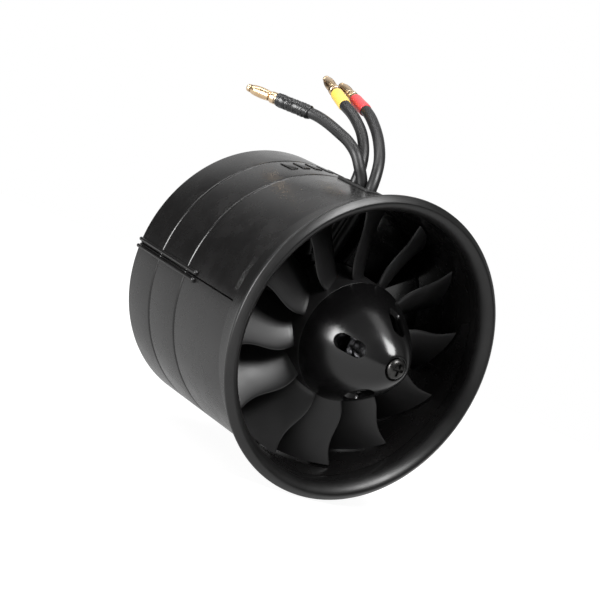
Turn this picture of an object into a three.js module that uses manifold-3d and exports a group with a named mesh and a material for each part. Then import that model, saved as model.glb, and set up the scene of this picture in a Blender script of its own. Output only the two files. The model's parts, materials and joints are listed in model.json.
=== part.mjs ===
// Ducted fan unit of the 80 mm class, for a model jet.
// The fan axis is Y. The inlet faces -Y, the exhaust faces +Y and the leads leave at the top, +Z.
// The origin is on the axis, in the plane of the widest circle of the inlet lip. Millimetres.
import * as THREE from 'three';
import { mergeVertices } from 'three/addons/utils/BufferGeometryUtils.js';
import Module from 'manifold-3d';

const wasm = await Module();
wasm.setup();

// ---------------------------------------------------------------- driving dimensions
const GAP = 0.3;                 // clearance between pieces that touch
const ROUND = 40;                // segments of the large turned pieces
const MIDDLE_ROUND = 28;         // segments of the pieces about as wide as the motor
const SMALL_ROUND = 16;          // segments of the small turned pieces

const LIP_R = 46.5;              // widest circle of the inlet lip
const LIP_FRONT_Y = -1.8;
const LIP_CREST_R = 44.9;
const THROAT_R = 40.9;           // bore where the lip meets the duct
const THROAT_Y = 5.1;
const COLLAR_R = 42.9;           // collar of the lip, over the front of the duct
const COLLAR_END_Y = 11.0;

const BORE_R = 40.0;
const DUCT_R = 41.85;
const DUCT_REAR_Y = 68.2;
const SEAT_R = 41.0;             // recess in the duct that holds the stator ring
const SEAT_Y = [30.7, 60.3];
const GROOVE_Y = [39.0, 54.7];
const GROOVE_DEPTH = 0.4;
const GROOVE_HALF = 0.65;

const RIB_Y0 = 32.9;             // ribs along the joint of the two half shells
const RIB_Z = [0.6, 1.8];
const RIB_R = 42.9;

const MARKS = 7;                 // raised bars on the top of the duct
const MARK_Y = [45.6, 52.2];
const MARK_ANGLE = 76;           // degrees, of the first bar
const MARK_SPACING = 6;
const MARK_HALF = 1.3;
const MARK_HEIGHT = 0.25;

const BLADES = 12;
const ROOT_R = 17.7;
const TIP_R = 39.4;
const HUB_R = [18.4, 19.1];      // hub radius at its front and rear ends
const HUB_Y = [7.5, 25.0];
const LEADING_Y = 10.0;
const ROOT_CHORD = 18.0;
const TIP_CHORD = 21.5;
const ROOT_PITCH = 50;           // degrees from the plane of the rotor
const TIP_PITCH = 37;
const ROOT_CAMBER = 34;
const TIP_CAMBER = 16;
const ROOT_ANGLE = 21.5;         // leading edge of the first blade, degrees from +X
const TIP_ANGLE = 18.6;
const ROOT_THICKNESS = 2.0;
const TIP_THICKNESS = 1.0;
const LEADING_HUMP = 0.9;        // forward wave of the leading edge

const SPINNER_R = 18.2;
const SPINNER_BASE_Y = 7.2;
const SPINNER_LENGTH = 24.5;
const SPINNER_RIM_R = 3.9;
const SPINNER_RIM_Y = -15.6;
const HEAD_SEAT_R = 3.4;
const HEAD_SEAT_Y = -14.9;       // seat of the screw head in the spinner
const SPINNER_WALL = 1.5;
const WINDOWS = 4;
const WINDOW_ANGLE = 85;
const WINDOW_Y = -6.6;
const WINDOW_HALF = 2.0;         // half of the straight part of a window, along Y
const WINDOW_END_R = 2.4;

const VANES = 9;
const VANE_ANGLE = 74;
const VANE_Y = [31.5, 58.5];
const VANE_TURN = 6.0;           // sideways run of a vane from front to rear
const VANE_THICKNESS = 2.0;
const STATOR_R = [17.9, 19.3];
const STATOR_Y = [26.4, 64.0];
const PLATE_END_Y = 28.2;
const MOTOR_SCREW_R = 12.5;
const TAIL_SCREW_Y = 62.2;
const TAIL_END_Y = 84.6;

const FLANGE_Y = [20.3, 24.4];   // flange of the rotor adapter, inside the hub
const FLANGE_R = 7.5;
const STUB_R = 3.0;              // threaded stub that carries the rotor and the spinner

const TUBE_R = [7.1, 8.0];       // bearing tube of the motor base
const CORE_Y = [45.0, 57.0];
const TEETH = 12;
const BELL_R = 16.8;
const SHAFT_R = 2.5;
const BEARING_Y = { front: [29.2, 34.2], rear: [52.6, 57.6] };
const BALLS = 7;

const LEAD_R = 1.75;
const SLOT_X = -1.2;
const SLOT_Y = 30.4;
const SLOT_SIZE = [8.0, 15.8];   // along X and along Y
const GROMMET_HOLE = [5.4, 13.2];
const GROMMET_Z = [42.15, 42.5]; // thin edge that lies over the duct
const LEAD_OVERLAP = 5.0;        // length of lead past the end of its route, inside its sleeve
const SLEEVE_R = [2.05, 2.4];

const degrees = Math.PI / 180;
const screwAngles = [45, 135, 225, 315].map((angle) => angle * degrees);
const tailScrewAngles = [30, 150, 270].map((angle) => angle * degrees);

// ---------------------------------------------------------------- materials
function material(color, roughness, metalness) {
  return new THREE.MeshStandardMaterial({ color, roughness, metalness });
}
const nylon = material(0x1b1a1a, 0.42, 0.0);
const blackScrew = material(0x242424, 0.3, 0.9);
const steel = material(0xb9bcc0, 0.3, 1.0);
const aluminium = material(0xc4c6c8, 0.35, 1.0);
const rubber = material(0x151515, 0.8, 0.0);
const gold = material(0xd2a45a, 0.25, 1.0);
const copper = material(0xb56a35, 0.35, 0.9);
const lamination = material(0x55504c, 0.5, 0.8);
const yellowSleeve = material(0xf2cf62, 0.45, 0.0);
const redSleeve = material(0xd6474b, 0.45, 0.0);
const blackSleeve = material(0x191919, 0.5, 0.0);

// ---------------------------------------------------------------- geometry helpers
// Merges equal corners, drops flat triangles and turns the faces outward.
function closed(source) {
  const geometry = source.clone();
  geometry.deleteAttribute('normal');
  geometry.deleteAttribute('uv');
  const merged = mergeVertices(geometry, 1e-4);
  const index = merged.index.array;
  const position = merged.attributes.position;
  const corner = [new THREE.Vector3(), new THREE.Vector3(), new THREE.Vector3()];
  const kept = [];
  let volume = 0;
  for (let i = 0; i < index.length; i += 3) {
    const [a, b, c] = index.slice(i, i + 3);
    if (a === b || b === c || c === a) continue;
    [a, b, c].forEach((vertex, k) => corner[k].fromBufferAttribute(position, vertex));
    volume += corner[0].dot(corner[1].clone().cross(corner[2]));
    kept.push(a, b, c);
  }
  if (volume < 0) kept.reverse();
  merged.setIndex(kept);
  return merged;
}

function toSolid(source) {
  const geometry = closed(source);
  return new wasm.Manifold(new wasm.Mesh({
    numProp: 3,
    vertProperties: new Float32Array(geometry.attributes.position.array),
    triVerts: new Uint32Array(geometry.index.array),
  }));
}

function toGeometry(solid) {
  const mesh = solid.getMesh();
  const geometry = new THREE.BufferGeometry();
  geometry.setAttribute('position', new THREE.BufferAttribute(mesh.vertProperties, 3));
  geometry.setIndex(new THREE.BufferAttribute(mesh.triVerts, 1));
  return geometry;
}

// A body turned about Y from [radius, y] points.
function turned(points, segments = ROUND) {
  const profile = points.map(([radius, y]) => new THREE.Vector2(radius, y));
  return closed(new THREE.LatheGeometry(profile, segments));
}

// A ring or tube turned about Y, with a rectangular section.
function ring(inner, outer, y0, y1, segments = ROUND) {
  return turned([[inner, y0], [outer, y0], [outer, y1], [inner, y1], [inner, y0]], segments);
}

function disc(radius, y0, y1, segments = SMALL_ROUND) {
  return turned([[0, y0], [radius, y0], [radius, y1], [0, y1]], segments);
}

function block(x, y, z) {
  const size = [x, y, z].map(([low, high]) => high - low);
  const geometry = new THREE.BoxGeometry(...size);
  geometry.translate(...[x, y, z].map(([low, high]) => (low + high) / 2));
  return geometry;
}

// A flat outline in the X-Z plane, from y0 to y1.
function plate(shape, y0, y1, curveSegments = 12) {
  const options = { depth: y1 - y0, bevelEnabled: false, curveSegments };
  const geometry = new THREE.ExtrudeGeometry(shape, options);
  geometry.rotateX(Math.PI / 2);
  geometry.translate(0, y1, 0);
  return geometry;
}

function polygon(points) {
  return new THREE.Shape(points.map(([x, y]) => new THREE.Vector2(x, y)));
}

// A round pin along a direction, turned about its own axis from [radius, distance] points.
function pinAlong(points, start, direction, segments = SMALL_ROUND) {
  const geometry = turned(points, segments);
  return pointed(geometry, start, direction);
}

// A body built along +Y, turned to a unit direction and moved to a start.
function pointed(geometry, start, direction) {
  geometry.applyQuaternion(new THREE.Quaternion().setFromUnitVectors(new THREE.Vector3(0, 1, 0), direction));
  geometry.translate(start.x, start.y, start.z);
  return geometry;
}

// A box whose corners are moved by place(u, v, w), each from 0 to 1.
function shaped(place, segments) {
  const geometry = new THREE.BoxGeometry(1, 1, 1, ...segments);
  const position = geometry.attributes.position;
  for (let i = 0; i < position.count; i += 1) {
    const [x, y, z] = place(position.getX(i) + 0.5, position.getY(i) + 0.5, position.getZ(i) + 0.5);
    position.setXYZ(i, x, y, z);
  }
  return geometry;
}

function aroundAxis(radius, angle, y) {
  return [radius * Math.cos(angle), y, radius * Math.sin(angle)];
}

function turnedAbout(geometry, angle) {
  return geometry.clone().rotateY(-angle);
}

function union(list) {
  return list.map(toSolid).reduce((whole, next) => whole.add(next));
}

function mix(a, b, t) {
  return a + (b - a) * t;
}

const fan = new THREE.Group();
const rotor = new THREE.Group();
fan.add(rotor);

function addPiece(name, geometry, finish, group = fan) {
  const mesh = new THREE.Mesh(geometry, finish);
  mesh.name = name;
  group.add(mesh);
}

// ---------------------------------------------------------------- inlet lip
// Quarter ellipse from the crest of the lip down to the throat.
function bellmouth(steps) {
  const points = [];
  for (let i = 0; i <= steps; i += 1) {
    const t = (i / steps) * Math.PI / 2;
    const radius = THROAT_R + (LIP_CREST_R - THROAT_R) * (1 - Math.sin(t));
    const y = THROAT_Y - (THROAT_Y - LIP_FRONT_Y) * Math.cos(t);
    points.push([radius, y]);
  }
  return points;
}

function inletLip() {
  const seat = DUCT_R - 0.15 + GAP;
  const profile = [
    ...bellmouth(5),
    [seat, THROAT_Y], [seat, COLLAR_END_Y], [COLLAR_R - 0.4, COLLAR_END_Y],
    [COLLAR_R - 0.4, 8.8], [COLLAR_R, 8.6], [COLLAR_R, 6.2],
    [43.4, 4.0], [44.6, 2.0], [46.1, 0.9],
    [LIP_R, 0], [46.2, -1.0], [45.7, -1.6], [LIP_CREST_R, LIP_FRONT_Y],
  ];
  return turned(profile);
}

// ---------------------------------------------------------------- duct shells
function grooveCut(y) {
  const bottom = DUCT_R - GROOVE_DEPTH;
  return [
    [DUCT_R, y - GROOVE_HALF], [bottom, y - GROOVE_HALF / 2],
    [bottom, y + GROOVE_HALF / 2], [DUCT_R, y + GROOVE_HALF],
  ];
}

function ductTube() {
  const front = THROAT_Y + GAP;
  return turned([
    [THROAT_R, front], [DUCT_R - 0.15, front], [DUCT_R - 0.15, COLLAR_END_Y + GAP],
    [DUCT_R, COLLAR_END_Y + GAP + 0.15],
    ...GROOVE_Y.flatMap(grooveCut),
    [DUCT_R, DUCT_REAR_Y - 0.4], [DUCT_R - 0.4, DUCT_REAR_Y], [BORE_R, DUCT_REAR_Y],
    [BORE_R, SEAT_Y[1]], [SEAT_R, SEAT_Y[1]], [SEAT_R, SEAT_Y[0]], [BORE_R, SEAT_Y[0]],
    [BORE_R, 9.0], [THROAT_R, front],
  ]);
}

function leadSlot() {
  const [width, length] = SLOT_SIZE;
  const x = [SLOT_X - width / 2, SLOT_X + width / 2];
  const y = [SLOT_Y - length / 2, SLOT_Y + length / 2];
  return toSolid(block(x, y, [DUCT_R - 6, DUCT_R + 6]));
}

// One half of the duct, on the side of the joint that side (1 or -1) says.
function halfShell(side) {
  const reach = 60;
  const z = side > 0 ? [GAP / 2, reach] : [-reach, -GAP / 2];
  const ribZ = side > 0 ? RIB_Z : [-RIB_Z[1], -RIB_Z[0]];
  let shell = toSolid(ductTube()).intersect(toSolid(block([-reach, reach], [0, 80], z)));
  for (const ribX of [[DUCT_R - 0.5, RIB_R], [-RIB_R, 0.5 - DUCT_R]]) {
    shell = shell.add(toSolid(block(ribX, [RIB_Y0, DUCT_REAR_Y], ribZ)));
  }
  return side > 0 ? shell.subtract(leadSlot()) : shell;
}

// A row of plain raised bars between the grooves.
function topMarks() {
  const mark = block([DUCT_R - 0.3, DUCT_R + MARK_HEIGHT], MARK_Y, [-MARK_HALF, MARK_HALF]);
  return Array.from({ length: MARKS }, (_, i) => (
    turnedAbout(mark, (MARK_ANGLE + i * MARK_SPACING) * degrees)
  ));
}

addPiece('inlet_lip', inletLip(), nylon);
addPiece('shell_upper', toGeometry(halfShell(1).add(union(topMarks()))), nylon);
addPiece('shell_lower', toGeometry(halfShell(-1)), nylon);

// ---------------------------------------------------------------- impeller
// Point of a blade: u along the span, v from leading to trailing edge, w through the thickness.
function bladePoint(u, v, w, firstAngle) {
  const radius = mix(ROOT_R, TIP_R, u);
  const chord = mix(ROOT_CHORD, TIP_CHORD, u);
  const camber = mix(ROOT_CAMBER, TIP_CAMBER, u) * degrees;
  const start = mix(ROOT_PITCH, TIP_PITCH, u) * degrees - camber / 2;
  const slope = start + camber * v;
  const along = (chord / camber) * (Math.sin(slope) - Math.sin(start));
  const back = (chord / camber) * (Math.cos(start) - Math.cos(slope));
  const hump = LEADING_HUMP * Math.sin(2 * Math.PI * u) * (1 - v) ** 2;
  const section = 0.3 + 0.7 * Math.sin(Math.PI * v ** 0.7);
  const thickness = mix(ROOT_THICKNESS, TIP_THICKNESS, u) * section * (w - 0.5);
  const angle = firstAngle + mix(ROOT_ANGLE, TIP_ANGLE, u) * degrees
    + (hump - along + thickness * Math.sin(slope)) / radius;
  const y = LEADING_Y + back + thickness * Math.cos(slope) - 0.5 * hump - 0.6 * u ** 4 * (1 - v);
  return aroundAxis(radius, angle, y);
}

function hub() {
  return turned([
    [HUB_R[0], HUB_Y[0]], [HUB_R[1], HUB_Y[1]], [17.4, HUB_Y[1]], [17.1, 14.2],
    [7.0, 14.2], [7.0, 20.0], [3.6, 20.0], [3.6, 9.0], [7.0, 9.0],
    [7.0, 12.4], [17.0, 12.4], [17.0, HUB_Y[0]], [HUB_R[0], HUB_Y[0]],
  ], MIDDLE_ROUND);
}

function impeller() {
  let whole = toSolid(hub());
  for (let i = 0; i < BLADES; i += 1) {
    const firstAngle = (i / BLADES) * 2 * Math.PI;
    whole = whole.add(toSolid(shaped((u, v, w) => bladePoint(u, v, w, firstAngle), [4, 5, 1])));
  }
  return toGeometry(whole);
}

// ---------------------------------------------------------------- spinner
function spinnerRadius(y) {
  const t = (SPINNER_BASE_Y - y) / SPINNER_LENGTH;
  return SPINNER_R * (1 - t ** 1.1) ** 0.6;
}

function spinner() {
  const outer = [];
  const inner = [];
  const steps = 7;
  for (let i = 0; i <= steps; i += 1) {
    const y = mix(SPINNER_BASE_Y, SPINNER_RIM_Y + 0.4, (i / steps) ** 0.85);
    outer.push([Math.max(spinnerRadius(y), SPINNER_RIM_R + 0.3), y]);
    if (y > -10.6) inner.push([spinnerRadius(y) - SPINNER_WALL, y]);
  }
  inner.shift();
  const lastInner = inner[inner.length - 1];
  const body = toSolid(turned([
    ...outer, [SPINNER_RIM_R, SPINNER_RIM_Y], [HEAD_SEAT_R, SPINNER_RIM_Y], [HEAD_SEAT_R, HEAD_SEAT_Y],
    [1.75, HEAD_SEAT_Y], [1.75, -11.4], [4.6, -11.4], lastInner,
    ...inner.slice(0, -1).reverse(),
    [15.4, SPINNER_BASE_Y], [15.4, 9.6], [16.6, 9.6], [16.7, SPINNER_BASE_Y], outer[0],
  ], MIDDLE_ROUND));
  return toGeometry(windowCuts().reduce((whole, cut) => whole.subtract(cut), body));
}

// Slots with round ends, cut radially through the wall of the spinner.
function windowCuts() {
  const outline = new THREE.Shape();
  outline.absarc(WINDOW_HALF, 0, WINDOW_END_R, -Math.PI / 2, Math.PI / 2);
  outline.absarc(-WINDOW_HALF, 0, WINDOW_END_R, Math.PI / 2, 1.5 * Math.PI);
  const options = { depth: 20, bevelEnabled: false, curveSegments: 5 };
  const slot = new THREE.ExtrudeGeometry(outline, options);
  slot.rotateY(Math.PI / 2);
  slot.rotateX(Math.PI / 2);
  slot.translate(6.5, WINDOW_Y, 0);
  return Array.from({ length: WINDOWS }, (_, i) => (
    toSolid(turnedAbout(slot, (WINDOW_ANGLE + (360 / WINDOWS) * i) * degrees))
  ));
}

function spinnerScrew() {
  const head = HEAD_SEAT_Y - GAP;
  const body = toSolid(turned([
    [0, -17.0], [2.2, -16.8], [3.0, -16.2], [3.0, head], [1.2, head], [1.2, -1.5], [0, -1.5],
  ], SMALL_ROUND));
  const cross = union([
    block([-1.8, 1.8], [-18, -16.2], [-0.35, 0.35]),
    block([-0.35, 0.35], [-18, -16.2], [-1.8, 1.8]),
  ]);
  return toGeometry(body.subtract(cross));
}

addPiece('impeller', impeller(), nylon, rotor);
addPiece('spinner', spinner(), nylon, rotor);
addPiece('spinner_screw', spinnerScrew(), blackScrew, rotor);

// ---------------------------------------------------------------- rotor adapter
const grubY = (FLANGE_Y[0] + FLANGE_Y[1]) / 2;

function radialPin(radius, inner, outer, y, angle) {
  const pin = disc(radius, inner, outer, 12);
  pin.rotateZ(-Math.PI / 2);
  pin.translate(0, y, 0);
  return turnedAbout(pin, angle);
}

function rotorAdapter() {
  const body = toSolid(turned([
    [0, 1.2], [SHAFT_R + GAP, 1.2], [SHAFT_R + GAP, FLANGE_Y[1]], [FLANGE_R, FLANGE_Y[1]],
    [FLANGE_R, FLANGE_Y[0]],
    [STUB_R + 0.3, FLANGE_Y[0]], [STUB_R + 0.3, 8.6], [STUB_R, 8.2], [STUB_R, -7.4], [STUB_R - 0.4, -7.8],
    [1.5, -7.8], [1.5, -0.6], [0, -0.6],
  ], SMALL_ROUND));
  return toGeometry([0, Math.PI].reduce(
    (whole, angle) => whole.subtract(toSolid(radialPin(1.5, 1.5, 9, grubY, angle))), body));
}

function hexNut(acrossFlats, hole, y0, y1) {
  const corner = acrossFlats / Math.sqrt(3);
  const points = Array.from({ length: 6 }, (_, i) => (
    [corner * Math.cos(i * Math.PI / 3), corner * Math.sin(i * Math.PI / 3)]
  ));
  return toGeometry(toSolid(plate(polygon(points), y0, y1)).subtract(toSolid(disc(hole, y0 - 1, y1 + 1))));
}

addPiece('rotor_adapter', rotorAdapter(), aluminium, rotor);
addPiece('adapter_washer', ring(3.6, 6.2, 7.4, 8.7, SMALL_ROUND), steel, rotor);
addPiece('adapter_nut', hexNut(10, 3.3, 2.0, 7.1), steel, rotor);
addPiece('grub_screw_1', radialPin(1.2, 2.9, 7.0, grubY, 0), blackScrew, rotor);
addPiece('grub_screw_2', radialPin(1.2, 2.9, 7.0, grubY, Math.PI), blackScrew, rotor);
addPiece('motor_shaft', turned([
  [0, 1.8], [2.2, 1.8], [SHAFT_R, 2.4], [SHAFT_R, 61.4], [2.2, 61.8], [0, 61.8],
], SMALL_ROUND), steel, rotor);
addPiece('shaft_collar', ring(SHAFT_R + GAP, 4.2, 26.0, 28.4, SMALL_ROUND), blackScrew, rotor);

// ---------------------------------------------------------------- stator
function vanePoint(u, v, w, firstAngle) {
  const radius = mix(STATOR_R[1] - 0.6, BORE_R + 0.4, u);
  const turn = VANE_TURN * (1 - (1 - v) ** 2);
  const thickness = VANE_THICKNESS * (0.25 + 0.75 * Math.sin(Math.PI * v ** 0.7)) * (w - 0.5);
  return aroundAxis(radius, firstAngle + (turn + thickness) / radius, mix(VANE_Y[0], VANE_Y[1], v));
}

function stator() {
  const hubTube = toSolid(turned([
    [STATOR_R[1], STATOR_Y[0]], [STATOR_R[1], STATOR_Y[1]], [STATOR_R[0], STATOR_Y[1]],
    [STATOR_R[0], PLATE_END_Y], [8.6, PLATE_END_Y], [8.6, STATOR_Y[0]], [STATOR_R[1], STATOR_Y[0]],
  ]));
  let whole = hubTube.add(toSolid(ring(BORE_R, SEAT_R - GAP, SEAT_Y[0] + GAP, SEAT_Y[1] - GAP)));
  for (let i = 0; i < VANES; i += 1) {
    const firstAngle = (VANE_ANGLE + (360 / VANES) * i) * degrees;
    whole = whole.add(toSolid(shaped((u, v, w) => vanePoint(u, v, w, firstAngle), [1, 6, 1])));
  }
  const leadWindow = block([-3.6, 1.2], [29.2, 42.8], [12, 21]);
  whole = whole.subtract(leadSlot()).subtract(toSolid(leadWindow));
  for (const angle of screwAngles) {
    whole = whole.subtract(toSolid(screwHole(1.5, angle)));
  }
  for (const angle of tailScrewAngles) {
    whole = whole.subtract(toSolid(radialPin(1.1, 16, 21, TAIL_SCREW_Y, angle)));
  }
  return toGeometry(whole);
}

function screwHole(radius, angle) {
  const hole = disc(radius, 20, 40, 12);
  hole.translate(MOTOR_SCREW_R, 0, 0);
  return turnedAbout(hole, angle);
}

addPiece('stator', stator(), nylon);

// ---------------------------------------------------------------- motor, fixed pieces
function motorBase() {
  const tube = toSolid(ring(TUBE_R[0], TUBE_R[1], 28.5, 58.2, SMALL_ROUND));
  const arms = screwAngles.map((angle) => turnedAbout(block([7.4, 15.4], [28.5, 30.6], [-2.6, 2.6]), angle));
  const collar = toSolid(ring(TUBE_R[0], 9.2, 28.5, 32.4, SMALL_ROUND));
  const body = union(arms).subtract(toSolid(disc(TUBE_R[0] + 0.2, 20, 40))).add(tube).add(collar);
  return toGeometry(screwAngles.reduce(
    (whole, angle) => whole.subtract(toSolid(screwHole(1.5, angle))), body));
}

function motorScrew(angle) {
  const screw = turned([
    [0, 24.9], [1.6, 24.9], [2.4, 25.3], [2.4, 26.1], [1.2, 26.1], [1.2, 31.4], [0, 31.4],
  ], 12);
  screw.translate(MOTOR_SCREW_R, 0, 0);
  return turnedAbout(screw, angle);
}

// Laminated core with a T-shaped tooth for each coil.
function statorCore() {
  const teeth = Array.from({ length: TEETH }, (_, i) => {
    const tooth = union([
      block([9.6, 13.6], CORE_Y, [-0.9, 0.9]),
      block([13.0, 13.8], CORE_Y, [-2.6, 2.6]),
    ]);
    return tooth.rotate([0, -(360 / TEETH) * i, 0]);
  });
  const yoke = toSolid(ring(TUBE_R[1] + GAP, 10.0, CORE_Y[0], CORE_Y[1], MIDDLE_ROUND));
  return toGeometry(teeth.reduce((whole, tooth) => whole.add(tooth), yoke));
}

// Copper: end turns at both ends of the core, joined by the bundles in the slots.
function windings() {
  const ends = [[43.2, CORE_Y[0] - GAP], [CORE_Y[1] + GAP, 58.8]].map(([y0, y1]) => (
    ring(8.6, 12.9, y0, y1, MIDDLE_ROUND)
  ));
  const bundles = Array.from({ length: TEETH }, (_, i) => (
    turnedAbout(block([10.6, 12.6], [44, 58], [-1.1, 1.1]), ((360 / TEETH) * (i + 0.5)) * degrees)
  ));
  return toGeometry(union([...ends, ...bundles]));
}

addPiece('motor_base', motorBase(), aluminium);
screwAngles.forEach((angle, i) => addPiece(`motor_screw_${i + 1}`, motorScrew(angle), blackScrew));
addPiece('stator_core', statorCore(), lamination);
addPiece('windings', windings(), copper);

// ---------------------------------------------------------------- bearings
function ballCage(y0, y1) {
  const middle = (y0 + y1) / 2;
  const cage = toSolid(ring(4.55, 5.15, middle - 1.4, middle + 1.4, SMALL_ROUND));
  const balls = Array.from({ length: BALLS }, (_, i) => {
    const ball = new THREE.SphereGeometry(0.52, 5, 3);
    ball.translate(4.85, middle, 0);
    return turnedAbout(ball, (i / BALLS) * 2 * Math.PI);
  });
  return toGeometry(cage.add(union(balls)));
}

for (const [end, [y0, y1]] of Object.entries(BEARING_Y)) {
  addPiece(`${end}_bearing_outer`, ring(5.7, TUBE_R[0] - GAP, y0, y1, SMALL_ROUND), steel);
  addPiece(`${end}_bearing_inner`, ring(SHAFT_R + GAP, 4.0, y0, y1, SMALL_ROUND), steel, rotor);
  addPiece(`${end}_bearing_cage`, ballCage(y0, y1), steel, rotor);
}

// ---------------------------------------------------------------- motor, turning pieces
function motorBell() {
  const body = toSolid(turned([
    [BELL_R, 43.6], [BELL_R, 60.6], [5.2, 60.6], [5.2, 61.6], [SHAFT_R + GAP, 61.6], [SHAFT_R + GAP, 59.4],
    [15.7, 59.4], [15.7, 43.6], [BELL_R, 43.6],
  ], MIDDLE_ROUND));
  const holes = Array.from({ length: 6 }, (_, i) => {
    const hole = disc(2.4, 55, 65, 12);
    hole.translate(10.2, 0, 0);
    return turnedAbout(hole, (i / 6) * 2 * Math.PI);
  });
  return toGeometry(body.subtract(union(holes)));
}

addPiece('motor_bell', motorBell(), aluminium, rotor);
addPiece('magnet_ring', ring(14.45, 15.4, 44.6, 57.4, MIDDLE_ROUND), lamination, rotor);

// ---------------------------------------------------------------- tail cone
function tailCone() {
  const outer = [[19.3, 64.3], [18.2, 70.0], [15.8, 76.0], [12.6, 81.0], [9.0, TAIL_END_Y]];
  const inner = [[7.4, TAIL_END_Y - 0.6], [11.4, 80.2], [14.4, 75.4], [16.6, 69.6], [17.0, 65.4]];
  const shell = turned([
    ...outer, ...inner, [15.6, 65.0], [15.6, 61.9], [17.6, 61.0], [17.6, 64.3], outer[0],
  ], MIDDLE_ROUND);
  return toGeometry(tailScrewAngles.reduce(
    (whole, angle) => whole.subtract(toSolid(radialPin(1.1, 14, 22, TAIL_SCREW_Y, angle))), toSolid(shell)));
}

function tailScrew(angle) {
  const screw = turned([[0, 15.4], [0.8, 15.4], [0.8, 19.6], [1.9, 19.6], [1.7, 20.4], [0, 20.6]], 12);
  screw.rotateZ(-Math.PI / 2);
  screw.translate(0, TAIL_SCREW_Y, 0);
  return turnedAbout(screw, angle);
}

addPiece('tail_cone', tailCone(), nylon);
tailScrewAngles.forEach((angle, i) => addPiece(`tail_screw_${i + 1}`, tailScrew(angle), blackScrew));

// ---------------------------------------------------------------- grommet
function roundedOutline(width, length, corner) {
  const x = width / 2 - corner;
  const y = length / 2 - corner;
  const outline = new THREE.Shape();
  outline.absarc(x, y, corner, 0, Math.PI / 2);
  outline.absarc(-x, y, corner, Math.PI / 2, Math.PI);
  outline.absarc(-x, -y, corner, Math.PI, 1.5 * Math.PI);
  outline.absarc(x, -y, corner, 1.5 * Math.PI, 2 * Math.PI);
  return outline;
}

function uprightBlock(width, length, corner, z0, z1) {
  const geometry = new THREE.ExtrudeGeometry(roundedOutline(width, length, corner), {
    depth: z1 - z0, bevelEnabled: false, curveSegments: 4,
  });
  geometry.translate(SLOT_X, SLOT_Y, z0);
  return toSolid(geometry);
}

function grommet() {
  const [width, length] = SLOT_SIZE;
  const body = uprightBlock(width - 2 * GAP, length - 2 * GAP, 0.8, 40.4, GROMMET_Z[0] + 0.1);
  const flange = uprightBlock(width + 0.8, length + 0.8, 1.2, ...GROMMET_Z);
  return toGeometry(body.add(flange).subtract(uprightBlock(...GROMMET_HOLE, 1.9, 38, 45)));
}

addPiece('wire_grommet', grommet(), rubber);

// ---------------------------------------------------------------- leads
// Route of each lead from the motor, the direction of the straight line of sleeve and plug from
// its end, and where along that line the sleeve starts and ends.
const LEADS = {
  black: {
    route: [
      [-1.2, 35.9, 9.9], [-1.2, 35.8, 16], [-1.2, 34.6, 24], [-1.2, 32.4, 32], [-1.2, 30.8, 38],
      [-1.4, 30.4, 41.5], [-2.5, 31.0, 44.4], [-3.9, 32.0, 46.9], [-5.2, 34.2, 50.0], [-6.2, 38.8, 52.5],
      [-7.2, 44.4, 54.0], [-8.2, 50.0, 55.2], [-9.2, 54.4, 55.8], [-10.2, 57.5, 55.9],
    ],
    direction: [-0.45, 0.89, -0.02],
    sleeve: [0, 12.4],
    finish: blackSleeve,
  },
  yellow: {
    route: [
      [-1.2, 40.3, 9.9], [-1.2, 40.2, 16], [-1.2, 38.9, 24], [-1.2, 36.7, 32], [-1.2, 35.1, 38],
      [-1.2, 34.6, 41.5], [-0.8, 35.4, 46.3], [0.1, 38.6, 51.6], [0.5, 43.6, 56.3], [0.3, 48.7, 59.3],
      [0.1, 52.2, 60.8], [0.1, 55.8, 61.8],
    ],
    direction: [0.2, 0.95, 0.24],
    sleeve: [1.3, 11.0],
    finish: yellowSleeve,
  },
  red: {
    route: [
      [-1.2, 31.5, 9.9], [-1.2, 31.4, 16], [-1.2, 30.2, 24], [-1.2, 28.1, 32], [-1.2, 26.6, 38],
      [-1.1, 26.3, 41.5], [-0.2, 27.8, 46.2], [1.2, 31.0, 50.8], [2.5, 35.4, 54.6], [3.9, 41.2, 58.2],
      [5.3, 48.6, 61.6], [6.0, 52.7, 62.9],
    ],
    direction: [0.15, 0.97, 0.19],
    sleeve: [1.3, 11.0],
    finish: redSleeve,
  },
};
function leadTube(route, direction) {
  const points = route.map((point) => new THREE.Vector3(...point));
  points.push(points[points.length - 1].clone().addScaledVector(direction, LEAD_OVERLAP));
  const section = new THREE.Shape().absarc(0, 0, LEAD_R, 0, 2 * Math.PI);
  return closed(new THREE.ExtrudeGeometry(section, {
    steps: 20, curveSegments: 4, extrudePath: new THREE.CatmullRomCurve3(points, false, 'centripetal'),
  }));
}

// Bullet plug: solder cup inside the sleeve, collar, and the core that carries the spring.
const PLUG_PROFILE = [
  [0, 5.6], [1.1, 5.6], [1.1, 5.4], [1.6, 5.4], [1.6, 12.8], [1.85, 13.0], [1.85, 14.6], [1.65, 14.8],
  [0.9, 14.8], [0.9, 22.4], [1.25, 22.6], [1.15, 23.6], [0.6, 24.0], [0, 24.0],
];
const SPRING_PROFILE = [
  [1.2, 15.1], [1.5, 15.1], [1.7, 17.2], [1.75, 18.7], [1.7, 20.2], [1.5, 22.1],
  [1.2, 22.1], [1.3, 20.0], [1.35, 18.7], [1.3, 17.2], [1.2, 15.1],
];
const SPRING_SLOT_Y = [15.9, 21.4];

function plugSpring(start, direction) {
  const body = toSolid(turned(SPRING_PROFILE, 8));
  const half = [-0.22, 0.22];
  const across = [-4, 4];
  const slots = union([block(half, SPRING_SLOT_Y, across), block(across, SPRING_SLOT_Y, half)]);
  return pointed(toGeometry(body.subtract(slots)), start, direction);
}

function sleeveProfile(start, end) {
  const [inner, outer] = SLEEVE_R;
  return [
    [inner, start], [outer - 0.2, start], [outer, start + 0.3], [outer, end - 0.3], [outer - 0.2, end],
    [inner, end], [inner, start],
  ];
}

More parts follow.
